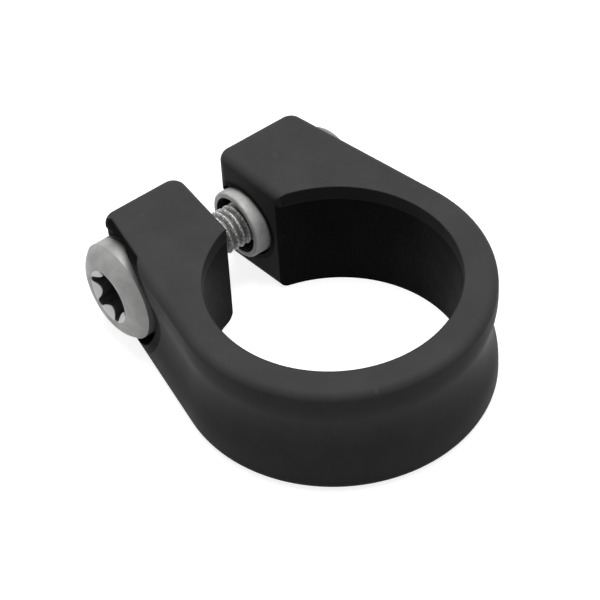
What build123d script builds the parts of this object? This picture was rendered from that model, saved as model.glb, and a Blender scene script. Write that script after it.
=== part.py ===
from build123d import *
from math import acos, atan, atan2, cos, hypot, isclose, sin, sqrt, tan
import os

# Seat post clamp: a slotted collar with two ears, a clamp bolt and a flanged sleeve nut.
# The bore runs along Z and the bolt along Y, a little below the collar's middle.
# The ears point to -X and the bolt head is on the -Y ear. Sizes are in millimetres.

# Collar ring
seat_tube_diameter = 34.9
collar_height = 17.5
ring_wall = 3.8
lip_height = 2.2
lip_ledge = 0.65
rim_round = 1.3

# Waist that is scooped round the outside, between the two rims
waist_depth = 0.8
waist_half_height = 4.8
waist_shoulder_round = 10.0

# Ears and the slot between them
bolt_reach = 23.8
bolt_level = -0.4
ear_end_margin = 5.4
ears_width = 31.8
ear_corner_round = 2.0
slot_mouth_width = 6.0
slot_root_width = 8.2
slot_offset = -0.45
slot_corner_round = 1.5

# Clamp bolt with a low domed head and a six-lobe drive
bolt_diameter = 6.0
bolt_length = 32.0
bolt_end_chamfer = 0.6
head_diameter = 14.1
head_rim_height = 2.8
head_height = 4.2
head_flat_diameter = 8.6
head_edge_break = 0.2
dome_bulge = 0.3
drive_tip_diameter = 7.7
drive_valley_diameter = 5.5
drive_valley_round = 1.7
drive_tip_round = 0.35
drive_depth = 3.0
drive_turn = 20.0
drive_lobes = 6

# Sleeve nut with a round flange
nut_barrel_diameter = 9.9
nut_flange_diameter = 13.2
nut_flange_height = 4.0
nut_flange_round = 1.2
nut_stand_out = 1.5
nut_rim_width = 0.85
nut_mouth_depth = 2.4
nut_mouth_cone = 1.0
nut_edge_round = 0.35

# Spot faces that seat the head and the flange, and the holes through the ears
spot_face_span = 30.8
head_spot_clearance = 1.3
flange_spot_clearance = 0.9
bolt_hole_clearance = 0.3
barrel_relief_width = 0.4
barrel_relief_depth = 1.0

# Fits
thread_running_clearance = 0.05
barrel_fit_clearance = 0.02
head_seat_clearance = 0.02

bore_radius = seat_tube_diameter / 2
lip_radius = bore_radius - lip_ledge
outer_radius = bore_radius + ring_wall
half_height = collar_height / 2
lip_underside = half_height - lip_height

ear_reach = bolt_reach + ear_end_margin
ear_half_width = ears_width / 2

# The slot widens evenly from the ends of the ears to the bore.
slot_taper = atan((slot_root_width - slot_mouth_width) / 2 / (ear_reach - bore_radius))
slot_start_x = -ear_reach - ring_wall
slot_start_half = slot_mouth_width / 2 - ring_wall * tan(slot_taper)
slot_stop_x = -bore_radius / 2
slot_stop_half = slot_mouth_width / 2 + (ear_reach - bore_radius / 2) * tan(slot_taper)
slot_half_at_bolt = slot_mouth_width / 2 + ear_end_margin * tan(slot_taper)

# Each flank runs from the corner of an ear to the point where it touches the ring.
corner_distance = hypot(ear_reach, ear_half_width)
corner_angle = atan2(ear_half_width, -ear_reach)
touch_angle = corner_angle - acos(outer_radius / corner_distance)
touch_x = outer_radius * cos(touch_angle)
touch_y = outer_radius * sin(touch_angle)
far_corner = (-ear_reach, ear_half_width)
near_corner = (-ear_reach, -ear_half_width)
far_touch = (touch_x, touch_y)
near_touch = (touch_x, -touch_y)
flank_angle = atan2(touch_y - ear_half_width, touch_x + ear_reach)

spot_face_y = spot_face_span / 2
bolt_radius = bolt_diameter / 2
head_radius = head_diameter / 2
barrel_radius = nut_barrel_diameter / 2
flange_radius = nut_flange_diameter / 2
bolt_axis = Axis((-bolt_reach, 0, bolt_level), (0, 1, 0))
bolt_section_plane = Plane(origin=(-bolt_reach, 0, bolt_level), x_dir=(1, 0, 0), z_dir=(0, 0, 1))


def is_lip_edge(edge):
    """Tell whether an edge is the round mouth of the lip."""
    return edge.geom_type == GeomType.CIRCLE and isclose(edge.radius, lip_radius)


# The collar is one machined piece: its plan is drawn whole and raised to its full height.
with BuildPart() as collar:
    with BuildSketch(Plane.XY.offset(-half_height)) as plan:
        with BuildLine():
            Polyline(far_touch, far_corner, near_corner, near_touch)
            ThreePointArc(near_touch, (outer_radius, 0), far_touch)
        make_face()
        Circle(lip_radius, mode=Mode.SUBTRACT)
        with Locations((0, slot_offset)):
            Polygon(
                (slot_start_x, -slot_start_half),
                (slot_stop_x, -slot_stop_half),
                (slot_stop_x, slot_stop_half),
                (slot_start_x, slot_start_half),
                mode=Mode.SUBTRACT,
            )
    extrude(amount=collar_height)

    # The waist is a shallow hollow swept along one flank, round the ring and along the other.
    run_out_x = -ear_reach - waist_depth
    run_out_y = ear_half_width - waist_depth * tan(flank_angle)
    with BuildLine() as wall_path:
        Line((run_out_x, -run_out_y), near_touch)
        ThreePointArc(near_touch, (outer_radius, 0), far_touch)
        Line(far_touch, (run_out_x, run_out_y))
    waist_plane = Plane(origin=wall_path.line @ 0, x_dir=(0, 0, -1), z_dir=wall_path.line % 0)
    with BuildSketch(waist_plane):
        with BuildLine():
            ThreePointArc((-waist_half_height, 0), (0, waist_depth), (waist_half_height, 0))
            Polyline(
                (waist_half_height, 0),
                (waist_half_height, -ring_wall),
                (-waist_half_height, -ring_wall),
                (-waist_half_height, 0),
            )
        make_face()
    sweep(path=wall_path.line, mode=Mode.SUBTRACT)

    # The long edges of the waist are blended into the rims above and below it.
    level_edges = collar.edges().filter_by(lambda edge: edge.bounding_box().size.Z < 0.001)
    waist_edges = level_edges.filter_by_position(Axis.Z, -waist_half_height - 0.1, waist_half_height + 0.1)
    fillet(waist_edges, radius=waist_shoulder_round)

    # The upright corners at the ends of the ears are rounded, and then both rims all round,
    # except at the mouth of the bore.
    ear_ends = collar.faces().group_by(Axis.X)[0]
    fillet(ear_ends.edges().filter_by(Axis.Y, reverse=True), radius=ear_corner_round)
    flat_faces = collar.faces().sort_by(Axis.Z)
    rim_edges = flat_faces[0].edges() + flat_faces[-1].edges()
    fillet(rim_edges.filter_by(is_lip_edge, reverse=True), radius=rim_round)

    # The bore stops under the lip, which rests on the end of the seat tube.
    with BuildSketch(Plane.XY.offset(lip_underside)):
        Circle(bore_radius)
    extrude(amount=-collar_height, mode=Mode.SUBTRACT)

    # The two upright corners where the slot meets the lip are eased.
    for side in (-1, 1):
        along_face = Vector(cos(slot_taper), side * sin(slot_taper))
        into_ear = Vector(-sin(slot_taper), side * cos(slot_taper))
        ear_corner = Vector(-ear_reach, slot_offset + side * slot_mouth_width / 2)
        ease_depth = ear_corner.dot(into_ear) + slot_corner_round
        ease_back = sqrt((lip_radius + slot_corner_round) ** 2 - ease_depth**2)
        ease_centre = into_ear * ease_depth - along_face * ease_back
        slot_touch = ease_centre - into_ear * slot_corner_round
        lip_touch = ease_centre.normalized() * lip_radius
        inner_point = ease_centre.normalized() * (lip_radius - slot_corner_round)
        face_point = slot_touch + along_face * (inner_point - slot_touch).dot(along_face)
        with BuildSketch(Plane.XY.offset(-half_height)):
            with BuildLine():
                TangentArc(slot_touch, lip_touch, tangent=along_face)
                Polyline(lip_touch, inner_point, face_point, slot_touch)
            make_face()
        extrude(amount=collar_height, mode=Mode.SUBTRACT)

    # A flat spot face on each flank is square to the bolt and level with the collar's middle.
    with BuildSketch(Plane.XZ.offset(spot_face_y)):
        with Locations((-bolt_reach, 0)):
            Circle(head_radius + head_spot_clearance)
    extrude(amount=outer_radius, mode=Mode.SUBTRACT)
    with BuildSketch(Plane.XZ.offset(-spot_face_y)):
        with Locations((-bolt_reach, 0)):
            Circle(flange_radius + flange_spot_clearance)
    extrude(amount=-outer_radius, mode=Mode.SUBTRACT)

    # The near ear has a clearance hole for the bolt. The far ear has a hole for the nut's barrel,
    # with a shallow relief round it on the slot's side.
    with BuildSketch(Plane.XZ.offset(-slot_offset)):
        with Locations((-bolt_reach, bolt_level)):
            Circle(bolt_radius + bolt_hole_clearance)
    extrude(amount=outer_radius, mode=Mode.SUBTRACT)
    with BuildSketch(Plane.XZ.offset(-slot_offset)):
        with Locations((-bolt_reach, bolt_level)):
            Circle(barrel_radius + barrel_fit_clearance)
    extrude(amount=-outer_radius, mode=Mode.SUBTRACT)
    with BuildSketch(Plane.XZ.offset(-slot_offset)):
        with Locations((-bolt_reach, bolt_level)):
            Circle(barrel_radius + barrel_relief_width)
    extrude(amount=-slot_half_at_bolt - barrel_relief_depth, mode=Mode.SUBTRACT)


# The bolt is turned as one piece, and its drive is pressed into the domed head.
head_seat_y = -spot_face_y - head_seat_clearance
head_top_y = head_seat_y - head_height
head_rim_y = head_seat_y - head_rim_height
bolt_end_y = head_seat_y + bolt_length
head_flat_radius = head_flat_diameter / 2
dome_middle_radius = (head_radius + head_flat_radius) / 2
dome_middle_y = (head_rim_y + head_top_y) / 2 - dome_bulge
with BuildPart() as clamp_bolt:
    with BuildSketch(bolt_section_plane) as bolt_section:
        with BuildLine():
            Line((0, head_top_y), (head_flat_radius, head_top_y))
            ThreePointArc(
                (head_flat_radius, head_top_y),
                (dome_middle_radius, dome_middle_y),
                (head_radius - head_edge_break, head_rim_y),
            )
            Polyline(
                (head_radius - head_edge_break, head_rim_y),
                (head_radius, head_rim_y + head_edge_break),
                (head_radius, head_seat_y),
                (bolt_radius, head_seat_y),
                (bolt_radius, bolt_end_y - bolt_end_chamfer),
                (bolt_radius - bolt_end_chamfer, bolt_end_y),
                (0, bolt_end_y),
                (0, head_top_y),
            )
        make_face()
    revolve(axis=bolt_axis)
    with BuildSketch(Plane.XZ.offset(-head_top_y)) as drive:
        with Locations((-bolt_reach, bolt_level)):
            Circle(drive_tip_diameter / 2)
            with PolarLocations(drive_valley_diameter / 2 + drive_valley_round, drive_lobes, drive_turn):
                Circle(drive_valley_round, mode=Mode.SUBTRACT)
        fillet(drive.vertices(), radius=drive_tip_round)
    extrude(amount=-drive_depth, mode=Mode.SUBTRACT)


# The sleeve nut goes in from the far side and stands out of the ear into the slot.
nut_mouth_y = slot_offset + slot_half_at_bolt - nut_stand_out
nut_seat_y = spot_face_y
nut_top_y = nut_seat_y + nut_flange_height
nut_mouth_radius = barrel_radius - nut_rim_width
thread_radius = bolt_radius + thread_running_clearance
with BuildPart() as sleeve_nut:
    with BuildSketch(bolt_section_plane) as nut_section:
        with BuildLine():
            Polyline(
                (thread_radius, nut_mouth_y + nut_mouth_depth + nut_mouth_cone),
                (nut_mouth_radius, nut_mouth_y + nut_mouth_depth),
                (nut_mouth_radius, nut_mouth_y),
                (barrel_radius, nut_mouth_y),
                (barrel_radius, nut_seat_y),
                (flange_radius, nut_seat_y),
                (flange_radius, nut_top_y),
                (thread_radius, nut_top_y),
                close=True,
            )
        make_face()
        flange_corner = nut_section.vertices().group_by(Axis.Y)[-1].sort_by(Axis.X)[-1]
        fillet(flange_corner, radius=nut_flange_round)
        barrel_corner = nut_section.vertices().group_by(Axis.Y)[0].sort_by(Axis.X)[-1]
        fillet(barrel_corner, radius=nut_edge_round)
    revolve(axis=bolt_axis)


os.makedirs("parts", exist_ok=True)

collar.part.label = "collar"
export_step(collar.part, "parts/collar.step")

clamp_bolt.part.label = "clamp_bolt"
export_step(clamp_bolt.part, "parts/clamp_bolt.step")

sleeve_nut.part.label = "sleeve_nut"
export_step(sleeve_nut.part, "parts/sleeve_nut.step")
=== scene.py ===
import math

import bmesh
import bpy
from mathutils import Matrix, Vector


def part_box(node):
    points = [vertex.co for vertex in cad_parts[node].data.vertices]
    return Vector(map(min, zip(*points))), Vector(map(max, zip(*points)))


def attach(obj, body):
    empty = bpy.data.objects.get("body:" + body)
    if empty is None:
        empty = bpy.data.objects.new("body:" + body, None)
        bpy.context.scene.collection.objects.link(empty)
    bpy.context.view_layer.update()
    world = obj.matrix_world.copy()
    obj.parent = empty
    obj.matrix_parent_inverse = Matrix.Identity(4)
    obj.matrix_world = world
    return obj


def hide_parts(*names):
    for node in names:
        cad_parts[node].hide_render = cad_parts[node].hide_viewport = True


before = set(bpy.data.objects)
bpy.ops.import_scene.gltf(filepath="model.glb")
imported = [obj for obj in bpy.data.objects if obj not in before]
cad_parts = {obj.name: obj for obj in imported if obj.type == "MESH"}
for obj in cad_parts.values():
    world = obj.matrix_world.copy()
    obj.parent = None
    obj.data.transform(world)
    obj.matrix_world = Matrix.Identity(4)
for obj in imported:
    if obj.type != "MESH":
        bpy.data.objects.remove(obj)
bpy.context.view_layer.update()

scene = bpy.context.scene
MM = 0.001

# Collar
# The band is machined in one piece from aluminium and anodised black. Blasting before the
# anodising leaves a fine even grain, and handling rubs the edges a little lighter.
anodised_black = (0.050, 0.050, 0.051, 1.0)
anodised_faded = (0.057, 0.057, 0.057, 1.0)
anodised_rubbed = (0.078, 0.078, 0.077, 1.0)
# The bore and lip colours below are partly painted shade inside the ring.
bore_black_and_shade = (0.002, 0.002, 0.002, 1.0)
worn_bore_black_and_shade = (0.006, 0.006, 0.006, 1.0)
lip_black_and_shade = (0.028, 0.028, 0.028, 1.0)
# Painted shade for the recess round the bolt's head and for the ear round the nut's barrel.
collar_painted_shade = (0.004, 0.004, 0.004, 1.0)
collar_gloss = 0.02
collar_roughness = (0.44, 0.54)

blast_grain_size = 0.22 * MM
blast_grain_strength = 0.30
blast_grain_depth = 0.015 * MM
faded_cloud_size = 6.0 * MM
faded_cloud_span = (0.38, 0.66)
faded_cloud_strength = 0.10
faded_cloud_depth = 0.05 * MM
rub_size = 1.3 * MM
rub_span = (0.66, 0.78)
rub_share = 0.5
bore_wear_size = 0.45 * MM
bore_wear_span = (0.42, 0.66)
gloss_span = (0.3, 0.7)

paint_edge = 0.05 * MM
soft_paint_edge = 0.1 * MM
bore_reach = 17.50 * MM
lip_reach = 16.90 * MM
below_lip_z = 6.45 * MM
# Where the painted shade falls round the bolt's head and round the nut's barrel.
recess_shade_centre = Vector((-23.4, 0.0, 0.2)) * MM
recess_shade_reach = 9.35 * MM
recess_shade_edge = 0.15 * MM
recess_side_y = -13.1 * MM
recess_top_z = 8.62 * MM
barrel_shade_reach = 5.85 * MM
barrel_shade_edge = 0.4 * MM
barrel_shade_y = 1.0 * MM
bolt_axis_point = Vector((-23.8, 0.0, -0.4)) * MM
across_bore = (1.0, 1.0, 0.0)
across_bolt = (1.0, 0.0, 1.0)


class NodeMaker:
    """Short calls that add nodes to one tree and link them."""

    def __init__(self, tree):
        self.nodes = tree.nodes
        self.links = tree.links

    def plug(self, socket, value):
        """Link a socket to another node's output, or set it to a plain value."""
        if isinstance(value, bpy.types.NodeSocket):
            self.links.new(value, socket)
        else:
            socket.default_value = value

    def add(self, kind, inputs=None, **settings):
        """Add a node, make its settings, then plug its inputs, given by name or by number."""
        node = self.nodes.new(kind)
        for name, setting in settings.items():
            setattr(node, name, setting)
        for socket, value in (inputs or {}).items():
            self.plug(node.inputs[socket], value)
        return node

    def calculate(self, operation, *values):
        """Add one step of arithmetic."""
        return self.add("ShaderNodeMath", dict(enumerate(values)), operation=operation).outputs[0]

    def remap(self, value, low, high, to_low, to_high, smooth=False):
        """Stretch a value from one range to another, evenly or softly, and hold it there."""
        numbers = dict(enumerate((value, low, high, to_low, to_high)))
        kind = "SMOOTHSTEP" if smooth else "LINEAR"
        return self.add("ShaderNodeMapRange", numbers, interpolation_type=kind).outputs[0]

    def before(self, value, limit, edge):
        """Give 1 up to a limit and 0 from the end of a narrow edge past it."""
        return self.remap(value, limit, limit + edge, 1.0, 0.0)

    def beyond(self, value, limit, edge):
        """Give 0 up to a limit and 1 from the end of a narrow edge past it."""
        return self.remap(value, limit, limit + edge, 0.0, 1.0)


class Surface(NodeMaker):
    """A new material that is painted and raised by the place on the piece."""

    def __init__(self, name):
        self.material = bpy.data.materials.new(name)
        self.material.use_nodes = True
        super().__init__(self.material.node_tree)
        self.shader = self.nodes["Principled BSDF"]
        self.place = self.add("ShaderNodeTexCoord").outputs["Object"]
        split = self.add("ShaderNodeSeparateXYZ", {0: self.place})
        self.y = split.outputs["Y"]
        self.z = split.outputs["Z"]

    def add_noise(self, size, detail):
        """Add a noise whose features are about as large as the given size."""
        inputs = {"Vector": self.place, "Scale": 1.0 / size, "Detail": detail}
        return self.add("ShaderNodeTexNoise", inputs).outputs["Fac"]

    def measure_radius(self, point, across):
        """Measure the distance from the axis through a point; across is 0 along the axis."""
        offset = -point * Vector(across)
        inputs = {"Vector": self.place, "Location": offset, "Scale": across}
        centred = self.add("ShaderNodeMapping", inputs).outputs[0]
        return self.add("ShaderNodeVectorMath", {0: centred}, operation="LENGTH").outputs["Value"]

    def paint(self, under, over, *shares):
        """Paint one colour over another where all the shares are high."""
        share = shares[0]
        for other in shares[1:]:
            share = self.calculate("MULTIPLY", share, other)
        inputs = {"Factor": share, 6: under, 7: over}
        return self.add("ShaderNodeMix", inputs, data_type="RGBA").outputs[2]

    def raise_relief(self, height, strength, depth):
        """Add the relief of a height pattern to the relief that the shader has already."""
        inputs = {"Strength": strength, "Distance": depth, "Height": height}
        normal = self.shader.inputs["Normal"]
        if normal.links:
            inputs["Normal"] = normal.links[0].from_socket
        self.plug(normal, self.add("ShaderNodeBump", inputs).outputs["Normal"])

    def finish(self, colour, cloud, roughness):
        """Give the shader its colour, and a roughness that varies with the clouds."""
        self.plug(self.shader.inputs["Base Color"], colour)
        self.plug(self.shader.inputs["Roughness"], self.remap(cloud, *gloss_span, *roughness))


def make_anodised_black():
    """Satin black anodising over a blasted surface, with clouds too faint to see as spots."""
    surface = Surface("black_anodising")
    cloud = surface.add_noise(faded_cloud_size, detail=4.0)
    grain = surface.add_noise(blast_grain_size, detail=2.0)
    rubs = surface.add_noise(rub_size, detail=5.0)
    faded = surface.remap(cloud, *faded_cloud_span, 0.0, 1.0)
    rubbed = surface.remap(rubs, *rub_span, 0.0, rub_share)
    colour = surface.paint(anodised_black, anodised_faded, faded)
    colour = surface.paint(colour, anodised_rubbed, rubbed)

    # The bore is painted near black: the deeper black of anodising on an unblasted cut, with
    # painted shade inside the ring on top. Its lip is painted lighter than the bore and darker
    # than the outside, also as painted shade.
    radius = surface.measure_radius(Vector(), across_bore)
    on_lip = surface.before(radius, lip_reach, paint_edge)
    in_bore = surface.before(radius, bore_reach, paint_edge)
    below_lip = surface.before(surface.z, below_lip_z, soft_paint_edge)
    worn = surface.remap(surface.add_noise(bore_wear_size, detail=3.0), *bore_wear_span, 0.0, 1.0)
    bore_black_and_shade_mix = surface.paint(bore_black_and_shade, worn_bore_black_and_shade, worn)
    colour = surface.paint(colour, lip_black_and_shade, on_lip)
    colour = surface.paint(colour, bore_black_and_shade_mix, in_bore, below_lip)

    # Painted shade darkens the recess round the bolt's head and the ear round the nut's barrel,
    # where shade falls between the parts.
    recess_radius = surface.measure_radius(recess_shade_centre, across_bolt)
    in_recess = surface.before(recess_radius, recess_shade_reach, recess_shade_edge)
    head_side = surface.before(surface.y, recess_side_y, soft_paint_edge)
    below_top = surface.before(surface.z, recess_top_z, soft_paint_edge)
    colour = surface.paint(colour, collar_painted_shade, in_recess, head_side, below_top)
    barrel_radius = surface.measure_radius(bolt_axis_point, across_bolt)
    round_barrel = surface.before(barrel_radius, barrel_shade_reach, barrel_shade_edge)
    nut_side = surface.beyond(surface.y, barrel_shade_y, soft_paint_edge)
    colour = surface.paint(colour, collar_painted_shade, round_barrel, nut_side)

    surface.finish(colour, cloud, collar_roughness)
    surface.shader.inputs["Specular IOR Level"].default_value = collar_gloss
    surface.raise_relief(grain, blast_grain_strength, blast_grain_depth)
    surface.raise_relief(cloud, faded_cloud_strength, faded_cloud_depth)
    return surface.material


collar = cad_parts["collar"]
collar.data.materials.clear()
collar.data.materials.append(make_anodised_black())

# Clamp bolt
# It is an M6 bolt of plain steel: the low domed head is cold formed with a six-lobe drive
# pressed into it, and the coarse thread is rolled on the shank after that.
steel_grey = (0.38, 0.38, 0.375, 1.0)
steel_dull = (0.31, 0.31, 0.305, 1.0)
# Dark of the pits, also used as painted shade in the thread's grooves.
steel_pit_and_shade = (0.10, 0.10, 0.095, 1.0)
thread_bright = (0.80, 0.80, 0.79, 1.0)
drive_shade = (0.050, 0.050, 0.050, 1.0)
# Painted highlight for the drive's countersink.
drive_highlight = (0.68, 0.68, 0.67, 1.0)
bolt_metal_share = 0.35
bolt_roughness = (0.46, 0.58)
bolt_cloud_size = 2.2 * MM
bolt_cloud_strength = 0.10
bolt_cloud_depth = 0.03 * MM
dull_span = (0.35, 0.68)
pit_size = 0.35 * MM
pit_span = (0.70, 0.76)
pit_share = 0.8
pit_strength = 0.20
pit_depth = 0.01 * MM
scuff_size = 0.30 * MM
scuff_span = (0.46, 0.58)
groove_shade_share = 0.9
groove_shade_level = 0.1 * MM

head_seat_y = -15.42 * MM
head_top_y = -19.62 * MM
head_side_radius = 6.9 * MM
head_foot_height = 0.8 * MM
head_foot_edge = 0.3 * MM
drive_reach = 3.95 * MM
drive_end_height = 0.7 * MM
sink_depth = 0.85 * MM
sink_foot_radius = 2.60 * MM
sink_slope = (drive_reach - sink_foot_radius) / sink_depth
sink_overcut = 0.50 * MM
sink_facets = 96
sink_start_level = 0.02 * MM
sink_edge = 0.04 * MM
deep_level = 0.04 * MM
deep_edge = 0.21 * MM
head_weld = 0.0005 * MM
head_seat_slack = 0.01 * MM
head_crease = math.radians(40.0)

shank_radius = 3.0 * MM
shank_overlap = 0.4 * MM
bolt_end_y = 16.58 * MM
end_chamfer = 0.6 * MM
thread_pitch = 1.0 * MM
thread_depth = 0.61 * MM
thread_start_y = -9.0 * MM
thread_run_out = 1.6 * MM
thread_weld = 0.001 * MM
groove_span = (0.08, 0.82)
facets_around = 72
facets_per_pitch = 16
shank_end_rows = 3


class ThreadTree(NodeMaker):
    """A geometry tree that bends a grid round the bolt's axis, with a helix for its radius."""

    def __init__(self, name, lengths, product):
        self.tree = bpy.data.node_groups.new(name, "GeometryNodeTree")
        labels = [(label, "Float") for label in lengths]
        labels += [("Around", "Int"), ("Rows", "Int"), ("Steel", "Material")]
        for label, kind in labels:
            self.tree.interface.new_socket(label, in_out="INPUT", socket_type="NodeSocket" + kind)
        self.tree.interface.new_socket(product, in_out="OUTPUT", socket_type="NodeSocketGeometry")
        super().__init__(self.tree)
        self.given = self.add("NodeGroupInput").outputs

        sizes = {"Size X": 1.0, "Size Y": 1.0}
        counts = {"Vertices X": self.given["Around"], "Vertices Y": self.given["Rows"]}
        self.grid = self.add("GeometryNodeMeshGrid", sizes | counts).outputs["Mesh"]
        position = self.add("GeometryNodeInputPosition").outputs[0]
        spot = self.add("ShaderNodeSeparateXYZ", {0: position}).outputs
        self.turn = self.calculate("ADD", spot[0], 0.5)
        self.last_row = self.calculate("SUBTRACT", self.given["Rows"], 1)
        up_grid = self.calculate("ADD", spot[1], 0.5)
        self.row = self.calculate("ROUND", self.calculate("MULTIPLY", up_grid, self.last_row))

    def follow_helix(self, travel):
        """Give 1 along the middle of the bolt's groove and 0 along its crest."""
        turns = self.calculate("DIVIDE", travel, self.given["Pitch"])
        phase = self.calculate("FRACT", self.calculate("SUBTRACT", turns, self.turn))
        doubled = self.calculate("MULTIPLY", phase, 2)
        return self.calculate("ABSOLUTE", self.calculate("SUBTRACT", doubled, 1))

    def bend(self, along, radius):
        """Bend the grid round the axis, weld its seam and give it its steel."""
        angle = self.calculate("MULTIPLY", self.turn, 2 * math.pi)
        bent = self.add("ShaderNodeCombineXYZ", {
            "X": self.calculate("MULTIPLY", radius, self.calculate("SINE", angle)),
            "Y": along,
            "Z": self.calculate("MULTIPLY", radius, self.calculate("COSINE", angle)),
        }).outputs[0]
        shape = self.grid
        for kind, inputs in (
            ("SetPosition", {"Position": bent}),
            ("MergeByDistance", {"Distance": thread_weld}),
            ("SetShadeSmooth", {}),
            ("RealizeInstances", {}),
            ("SetMaterial", {"Material": self.given["Steel"]}),
        ):
            shape = self.add("GeometryNode" + kind, {"Geometry": shape} | inputs).outputs[0]
        self.add("NodeGroupOutput", {0: shape})

    def make_mesh(self, name, start_y, values):
        """Run the tree, keep the result as a plain mesh and put it on the bolt's axis."""
        holder = bpy.data.objects.new(name + "_holder", bpy.data.meshes.new(name + "_holder"))
        scene.collection.objects.link(holder)
        modifier = holder.modifiers.new("tree", "NODES")
        modifier.node_group = self.tree
        for item in self.tree.interface.items_tree:
            if item.in_out == "INPUT":
                modifier[item.identifier] = values[item.name]
        mesh = take_mesh(holder)
        mesh.name = name
        placed = bmesh.new()
        placed.from_mesh(mesh)
        start = Vector((bolt_axis_point.x, start_y, bolt_axis_point.z))
        bmesh.ops.translate(placed, verts=placed.verts, vec=start)
        bmesh.ops.recalc_face_normals(placed, faces=placed.faces)
        placed.to_mesh(mesh)
        placed.free()
        return mesh


def take_mesh(holder):
    """Take an object's mesh with its modifiers applied, and remove the object."""
    depsgraph = bpy.context.evaluated_depsgraph_get()
    mesh = bpy.data.meshes.new_from_object(holder.evaluated_get(depsgraph), depsgraph=depsgraph)
    bpy.data.objects.remove(holder)
    return mesh


def build_rolled_thread():
    """Build the tree of the bolt's shank, closed at both ends, with its thread rolled in."""
    lengths = ("Radius", "Depth", "Pitch", "Length", "Start", "Run Out", "Chamfer")
    tree = ThreadTree("rolled_thread", lengths, "Shank")
    given = tree.given

    # One row more at each end closes the shank to a point on the axis.
    inner_rows = tree.calculate("SUBTRACT", tree.last_row, 2)
    share = tree.remap(tree.calculate("SUBTRACT", tree.row, 1), 0, inner_rows, 0, 1)
    along = tree.calculate("MULTIPLY", share, given["Length"])
    before_last = tree.calculate("SUBTRACT", tree.last_row, 0.5)
    not_first = tree.calculate("GREATER_THAN", tree.row, 0.5)
    not_last = tree.calculate("LESS_THAN", tree.row, before_last)

    groove = tree.remap(tree.follow_helix(along), *groove_span, 0, 1, smooth=True)
    run_out_end = tree.calculate("ADD", given["Start"], given["Run Out"])
    rolled = tree.remap(along, given["Start"], run_out_end, 0, 1, smooth=True)
    sunk = tree.calculate("MULTIPLY", tree.calculate("MULTIPLY", groove, rolled), given["Depth"])
    threaded_radius = tree.calculate("SUBTRACT", given["Radius"], sunk)
    from_end = tree.calculate("SUBTRACT", given["Length"], along)
    end_radius = tree.calculate("SUBTRACT", given["Radius"], given["Chamfer"])
    chamfer_radius = tree.calculate("ADD", end_radius, from_end)
    radius = tree.calculate("MINIMUM", threaded_radius, chamfer_radius)
    radius = tree.calculate("MULTIPLY", tree.calculate("MULTIPLY", radius, not_first), not_last)
    tree.bend(along, radius)
    return tree


def make_bolt_steel():
    """Plain cold-formed steel: dull grey, faintly pitted, with a painted highlight on the drive's
    countersink and painted shade deep in the drive, at the head's foot and in the thread's
    grooves.
    """
    surface = Surface("bolt_steel")
    cloud = surface.add_noise(bolt_cloud_size, detail=5.0)
    pits = surface.add_noise(pit_size, detail=2.0)
    colour = surface.paint(steel_grey, steel_dull, surface.remap(cloud, *dull_span, 0.0, 1.0))
    colour = surface.paint(colour, steel_pit_and_shade, surface.remap(pits, *pit_span, 0.0, pit_share))

    # The countersink of the drive is painted bright as a painted highlight, and the drive's walls
    # below it are painted dark as painted shade.
    radius = surface.measure_radius(bolt_axis_point, across_bolt)
    inside = surface.before(radius, drive_reach, paint_edge)
    in_head = surface.before(surface.y, head_seat_y - drive_end_height, soft_paint_edge)
    below_face = surface.beyond(surface.y, head_top_y + sink_start_level, sink_edge)
    cone_level = surface.calculate("MULTIPLY_ADD", surface.y, sink_slope, radius)
    sink_level = drive_reach + sink_slope * head_top_y
    below_sink = surface.beyond(cone_level, sink_level + deep_level, deep_edge)
    colour = surface.paint(colour, drive_highlight, inside, in_head, below_face)
    colour = surface.paint(colour, drive_shade, inside, in_head, below_sink)

    # Painted shade darkens the foot of the head's side, in the recess.
    on_side = surface.beyond(radius, head_side_radius, soft_paint_edge)
    at_foot = surface.beyond(surface.y, head_seat_y - head_foot_height, head_foot_edge)
    colour = surface.paint(colour, drive_shade, on_side, at_foot)

    # The thread is scuffed bright in places, and painted shade darkens its grooves.
    scuffed = surface.remap(surface.add_noise(scuff_size, detail=2.0), *scuff_span, 0.0, 1.0)
    groove_root = shank_radius - thread_depth
    groove_mouth = shank_radius - groove_shade_level
    in_groove = surface.remap(radius, groove_root, groove_mouth, groove_shade_share, 0.0)
    on_shank = surface.beyond(surface.y, head_seat_y, soft_paint_edge)
    colour = surface.paint(colour, thread_bright, scuffed, on_shank)
    colour = surface.paint(colour, steel_pit_and_shade, in_groove, on_shank)

    surface.finish(colour, cloud, bolt_roughness)
    surface.shader.inputs["Metallic"].default_value = bolt_metal_share
    surface.raise_relief(cloud, bolt_cloud_strength, bolt_cloud_depth)
    surface.raise_relief(pits, pit_strength, pit_depth)
    return surface.material


bolt_steel = make_bolt_steel()


def copy_solid_head():
    """Copy the solid's head, merged, and close it where its plain shank was."""
    head = bmesh.new()
    head.from_mesh(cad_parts["clamp_bolt"].data)
    bmesh.ops.remove_doubles(head, verts=head.verts, dist=head_weld)
    head_end_y = head_seat_y + head_seat_slack
    shank = [face for face in head.faces if max(v.co.y for v in face.verts) > head_end_y]
    bmesh.ops.delete(head, geom=shank, context="FACES")
    bmesh.ops.holes_fill(head, edges=[edge for edge in head.edges if edge.is_boundary], sides=0)
    mesh = bpy.data.meshes.new("bolt_head")
    head.to_mesh(mesh)
    head.free()
    mesh.attributes.remove(mesh.attributes["custom_normal"])
    mesh.materials.clear()
    mesh.materials.append(bolt_steel)
    return mesh


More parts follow.
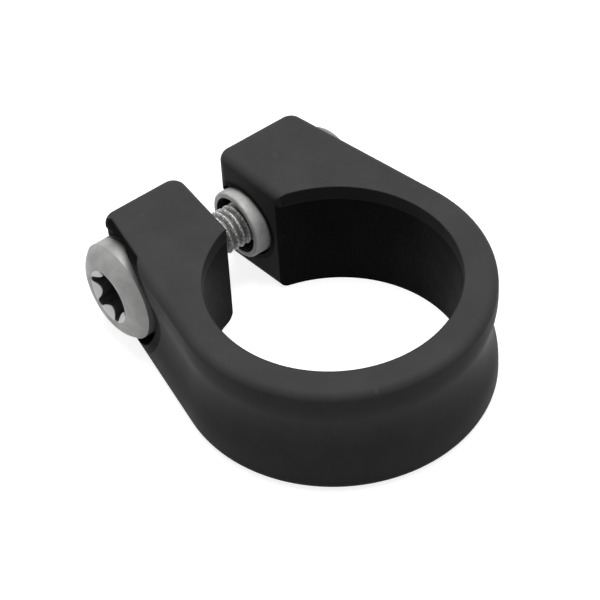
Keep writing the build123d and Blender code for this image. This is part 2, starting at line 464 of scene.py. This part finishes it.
def make_sink_cone():
    """Make the cone that cuts the countersink; it stands out past the head's face."""
    middle_y = head_top_y + (sink_depth - sink_overcut) / 2
    middle = Vector((bolt_axis_point.x, middle_y, bolt_axis_point.z))
    cone = bmesh.new()
    bmesh.ops.create_cone(
        cone, cap_ends=True, segments=sink_facets, depth=sink_depth + sink_overcut,
        radius1=drive_reach + sink_slope * sink_overcut, radius2=sink_foot_radius,
        matrix=Matrix.Translation(middle) @ Matrix.Rotation(-math.pi / 2, 4, "X"),
    )
    mesh = bpy.data.meshes.new("countersink")
    cone.to_mesh(mesh)
    cone.free()
    mesh.materials.append(bolt_steel)
    return mesh


head_blank = bpy.data.objects.new("head_blank", copy_solid_head())
sink_tool = bpy.data.objects.new("countersink", make_sink_cone())
scene.collection.objects.link(sink_tool)
scene.collection.objects.link(head_blank)
cut = head_blank.modifiers.new("countersink", "BOOLEAN")
cut.operation = "DIFFERENCE"
cut.solver = "EXACT"
cut.object = sink_tool
head_mesh = take_mesh(head_blank)
head_mesh.shade_smooth()
bpy.data.objects.remove(sink_tool)

shank_begin_y = head_seat_y - shank_overlap
shank_length = bolt_end_y - shank_begin_y
shank_mesh = build_rolled_thread().make_mesh("bolt_shank", shank_begin_y, {
    "Radius": shank_radius,
    "Depth": thread_depth,
    "Pitch": thread_pitch,
    "Length": shank_length,
    "Start": thread_start_y - shank_begin_y,
    "Run Out": thread_run_out,
    "Chamfer": end_chamfer,
    "Around": facets_around + 1,
    "Rows": round(shank_length / thread_pitch * facets_per_pitch) + shank_end_rows,
    "Steel": bolt_steel,
})

bolt = bmesh.new()
bolt.from_mesh(shank_mesh)
bolt.from_mesh(head_mesh)
bolt_mesh = bpy.data.meshes.new("threaded_bolt")
bolt.to_mesh(bolt_mesh)
bolt.free()
bolt_mesh.materials.append(bolt_steel)
bolt_mesh.set_sharp_from_angle(angle=head_crease)
threaded_bolt = bpy.data.objects.new("threaded_bolt", bolt_mesh)
scene.collection.objects.link(threaded_bolt)
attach(threaded_bolt, "bolt")
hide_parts("clamp_bolt")

# Sleeve nut
# It is turned from plain steel bar: a flange behind the far ear, and a barrel through the ear
# whose open mouth stands out into the slot. The turning tool leaves fine rings round it.
nut_grey = (0.62, 0.62, 0.61, 1.0)
nut_dull = (0.44, 0.44, 0.435, 1.0)
flange_grey = (0.20, 0.20, 0.196, 1.0)
mouth_shade = (0.035, 0.035, 0.034, 1.0)
nut_metal_share = 0.15
nut_roughness = (0.52, 0.66)
nut_cloud_size = 1.6 * MM
nut_cloud_strength = 0.10
nut_cloud_depth = 0.03 * MM
ring_mark_pitch = 0.30 * MM
ring_mark_strength = 0.25
ring_mark_depth = 0.01 * MM
ring_mark_wobble = 1.5
ring_texture_rate = 20.0

flange_start_y = 15.1 * MM
mouth_reach = 4.12 * MM
mouth_end_y = 10.0 * MM
nut_thread_start_y = 16.75 * MM
nut_thread_length = 2.35 * MM
nut_thread_root = 3.08 * MM
nut_thread_depth = 0.50 * MM
nut_thread_wall = 0.05 * MM
nut_thread_lead = 0.6 * MM
nut_ridge_span = (0.25, 0.88)
nut_thread_crease = math.radians(50.0)
sleeve_end_rows = 4


def make_nut_steel():
    """Turned steel with rings round the axis: a matt barrel, a darker flange and painted shade in
    the mouth.
    """
    surface = Surface("nut_steel")
    cloud = surface.add_noise(nut_cloud_size, detail=5.0)
    colour = surface.paint(nut_grey, nut_dull, surface.remap(cloud, *dull_span, 0.0, 1.0))
    on_flange = surface.beyond(surface.y, flange_start_y, soft_paint_edge)
    colour = surface.paint(colour, flange_grey, on_flange)
    radius = surface.measure_radius(bolt_axis_point, across_bolt)
    # Painted shade darkens the inside of the mouth.
    inside = surface.before(radius, mouth_reach, paint_edge)
    before_thread = surface.before(surface.y, mouth_end_y, soft_paint_edge)
    colour = surface.paint(colour, mouth_shade, inside, before_thread)
    surface.finish(colour, cloud, nut_roughness)
    surface.shader.inputs["Metallic"].default_value = nut_metal_share

    # A wave texture draws one ring for each 2 pi that its rate times its scale adds up to.
    centring = {"Vector": surface.place, "Location": -bolt_axis_point}
    rings = surface.add("ShaderNodeTexWave", {
        "Vector": surface.add("ShaderNodeMapping", centring).outputs[0],
        "Scale": 2 * math.pi / ring_texture_rate / ring_mark_pitch,
        "Distortion": ring_mark_wobble,
        "Detail": 1.0,
    }, wave_type="RINGS", rings_direction="Y").outputs["Fac"]
    surface.raise_relief(rings, ring_mark_strength, ring_mark_depth)
    surface.raise_relief(cloud, nut_cloud_strength, nut_cloud_depth)
    return surface.material


nut_steel = make_nut_steel()
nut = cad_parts["sleeve_nut"]
nut.data.materials.clear()
nut.data.materials.append(nut_steel)


def build_cut_thread():
    """Build the tree of the nut's thread: a thin sleeve whose inner wall follows the helix."""
    lengths = ("Root Radius", "Depth", "Wall", "Pitch", "Length", "Lead In", "Turned By")
    tree = ThreadTree("cut_thread", lengths, "Sleeve")
    given = tree.given

    # The last three rows lead back outside the inner wall to the first one and close the sleeve.
    to_last = tree.calculate("SUBTRACT", tree.last_row, tree.row)
    inner_rows = tree.calculate("SUBTRACT", tree.last_row, 3)
    back_at_start = tree.calculate("LESS_THAN", to_last, 1.5)
    leads_back = tree.calculate("LESS_THAN", to_last, 2.5)
    not_last = tree.calculate("GREATER_THAN", to_last, 0.5)
    outside = tree.calculate("MULTIPLY", leads_back, not_last)
    not_back = tree.calculate("SUBTRACT", 1, back_at_start)
    share = tree.calculate("MULTIPLY", tree.remap(tree.row, 0, inner_rows, 0, 1), not_back)
    along = tree.calculate("MULTIPLY", share, given["Length"])

    travel = tree.calculate("ADD", along, given["Turned By"])
    ridge = tree.remap(tree.follow_helix(travel), *nut_ridge_span, 0, 1, smooth=True)
    from_end = tree.calculate("SUBTRACT", given["Length"], along)
    led_in = tree.remap(from_end, 0, given["Lead In"], 0, 1, smooth=True)
    height = tree.calculate("MULTIPLY", tree.calculate("MULTIPLY", ridge, led_in), given["Depth"])
    inner_radius = tree.calculate("SUBTRACT", given["Root Radius"], height)
    outer_radius = tree.calculate("ADD", given["Root Radius"], given["Wall"])
    gap = tree.calculate("SUBTRACT", outer_radius, inner_radius)
    radius = tree.calculate("ADD", inner_radius, tree.calculate("MULTIPLY", gap, outside))
    tree.bend(along, radius)
    return tree


nut_thread_mesh = build_cut_thread().make_mesh("nut_thread", nut_thread_start_y, {
    "Root Radius": nut_thread_root,
    "Depth": nut_thread_depth,
    "Wall": nut_thread_wall,
    "Pitch": thread_pitch,
    "Length": nut_thread_length,
    "Lead In": nut_thread_lead,
    "Turned By": nut_thread_start_y - shank_begin_y,
    "Around": facets_around + 1,
    "Rows": round(nut_thread_length / thread_pitch * facets_per_pitch) + sleeve_end_rows,
    "Steel": nut_steel,
})
nut_thread_mesh.set_sharp_from_angle(angle=nut_thread_crease)
nut_thread = bpy.data.objects.new("nut_thread", nut_thread_mesh)
scene.collection.objects.link(nut_thread)
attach(nut_thread, "collar")

# Table and studio
# The clamp lies on its flat underside on a plain white table. One broad soft lamp hangs above
# it and two weaker ones stand high at its sides, and the room round them is evenly pale.
table_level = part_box("collar")[0].z
table_size = 1.6
table_white = (0.50, 0.50, 0.50, 1.0)
table_lift = 0.85
room_light = 0.15
room_white = (1.0, 1.0, 1.0, 1.0)
lamp_distance = 0.70

half = table_size / 2
corners = ((-half, -half), (half, -half), (half, half), (-half, half))
table_mesh = bpy.data.meshes.new("table")
table_mesh.from_pydata([(x, y, table_level) for x, y in corners], [], [(0, 1, 2, 3)])
table = bpy.data.objects.new("table", table_mesh)
scene.collection.objects.link(table)


def find_looking_rays(maker):
    """Give 1 for camera, glossy and transmission rays, and 0 for the rays that light things."""
    path = maker.add("ShaderNodeLightPath").outputs
    share = path["Is Camera Ray"]
    for label in ("Is Glossy Ray", "Is Transmission Ray"):
        share = maker.calculate("MAXIMUM", share, path[label])
    return share


def make_table_white():
    """A matt table that looks white and keeps the clamp's shadow."""
    material = bpy.data.materials.new("table_white")
    material.use_nodes = True
    material.node_tree.nodes.clear()
    maker = NodeMaker(material.node_tree)
    lift = maker.calculate("MULTIPLY", find_looking_rays(maker), table_lift)
    matt = maker.add("ShaderNodeBsdfDiffuse", {"Color": table_white})
    glow = maker.add("ShaderNodeEmission", {"Strength": lift})
    both = maker.add("ShaderNodeAddShader", {0: matt.outputs[0], 1: glow.outputs[0]})
    maker.add("ShaderNodeOutputMaterial", {"Surface": both.outputs[0]})
    return material


def make_pale_room():
    """A room that looks white but lights the clamp only weakly."""
    room = bpy.data.worlds.new("room")
    room.use_nodes = True
    room.node_tree.nodes.clear()
    maker = NodeMaker(room.node_tree)
    strength = maker.remap(find_looking_rays(maker), 0.0, 1.0, room_light, 1.0)
    pale = maker.add("ShaderNodeBackground", {"Color": room_white, "Strength": strength})
    maker.add("ShaderNodeOutputWorld", {"Surface": pale.outputs[0]})
    return room


table_mesh.materials.append(make_table_white())
scene.world = make_pale_room()


def point_from_clamp(azimuth, elevation):
    """Give the direction of a place round the clamp, turned from the -Y side and raised."""
    level = math.cos(elevation)
    return Vector((math.sin(azimuth) * level, -math.cos(azimuth) * level, math.sin(elevation)))


def hang_lamp(name, azimuth, elevation, size, power):
    """Hang a square soft lamp that looks at the clamp from the given side."""
    data = bpy.data.lights.new(name, "AREA")
    data.shape = "SQUARE"
    data.size = size
    data.energy = power
    lamp = bpy.data.objects.new(name, data)
    scene.collection.objects.link(lamp)
    towards = point_from_clamp(math.radians(azimuth), math.radians(elevation))
    lamp.rotation_mode = "QUATERNION"
    lamp.rotation_quaternion = towards.to_track_quat("Z", "Y")
    lamp.location = towards * lamp_distance


hang_lamp("top_lamp", azimuth=-125.0, elevation=80.0, size=0.40, power=4.6)
hang_lamp("left_lamp", azimuth=-35.0, elevation=48.0, size=0.30, power=0.25)
hang_lamp("right_lamp", azimuth=150.0, elevation=48.0, size=0.30, power=0.6)

# Camera
# It stands where the real clamp was taken from: high in front of the ring, with the bolt's
# head on the left. The lens is long, so the upright edges stay almost upright.
camera_azimuth = math.radians(54.58)
camera_elevation = math.radians(45.04)
camera_roll = math.radians(-3.68)
camera_distance = 0.3700
camera_aim = Vector((-6.45, -0.81, 0.0)) * MM

back = point_from_clamp(camera_azimuth, camera_elevation)
level_right = Vector((math.cos(camera_azimuth), math.sin(camera_azimuth), 0.0))
level_up = back.cross(level_right)
right = level_right * math.cos(camera_roll) + level_up * math.sin(camera_roll)
up = level_up * math.cos(camera_roll) - level_right * math.sin(camera_roll)
camera_data = bpy.data.cameras.new("camera")
camera_data.sensor_width = 36.0
camera_data.lens = 168.75
camera_data.clip_start = 0.01
camera_data.clip_end = 10.0
camera = bpy.data.objects.new("camera", camera_data)
scene.collection.objects.link(camera)
facing = Matrix((right, up, back)).transposed().to_4x4()
camera.matrix_world = Matrix.Translation(camera_aim + back * camera_distance) @ facing
scene.camera = camera
scene.view_settings.view_transform = "Standard"
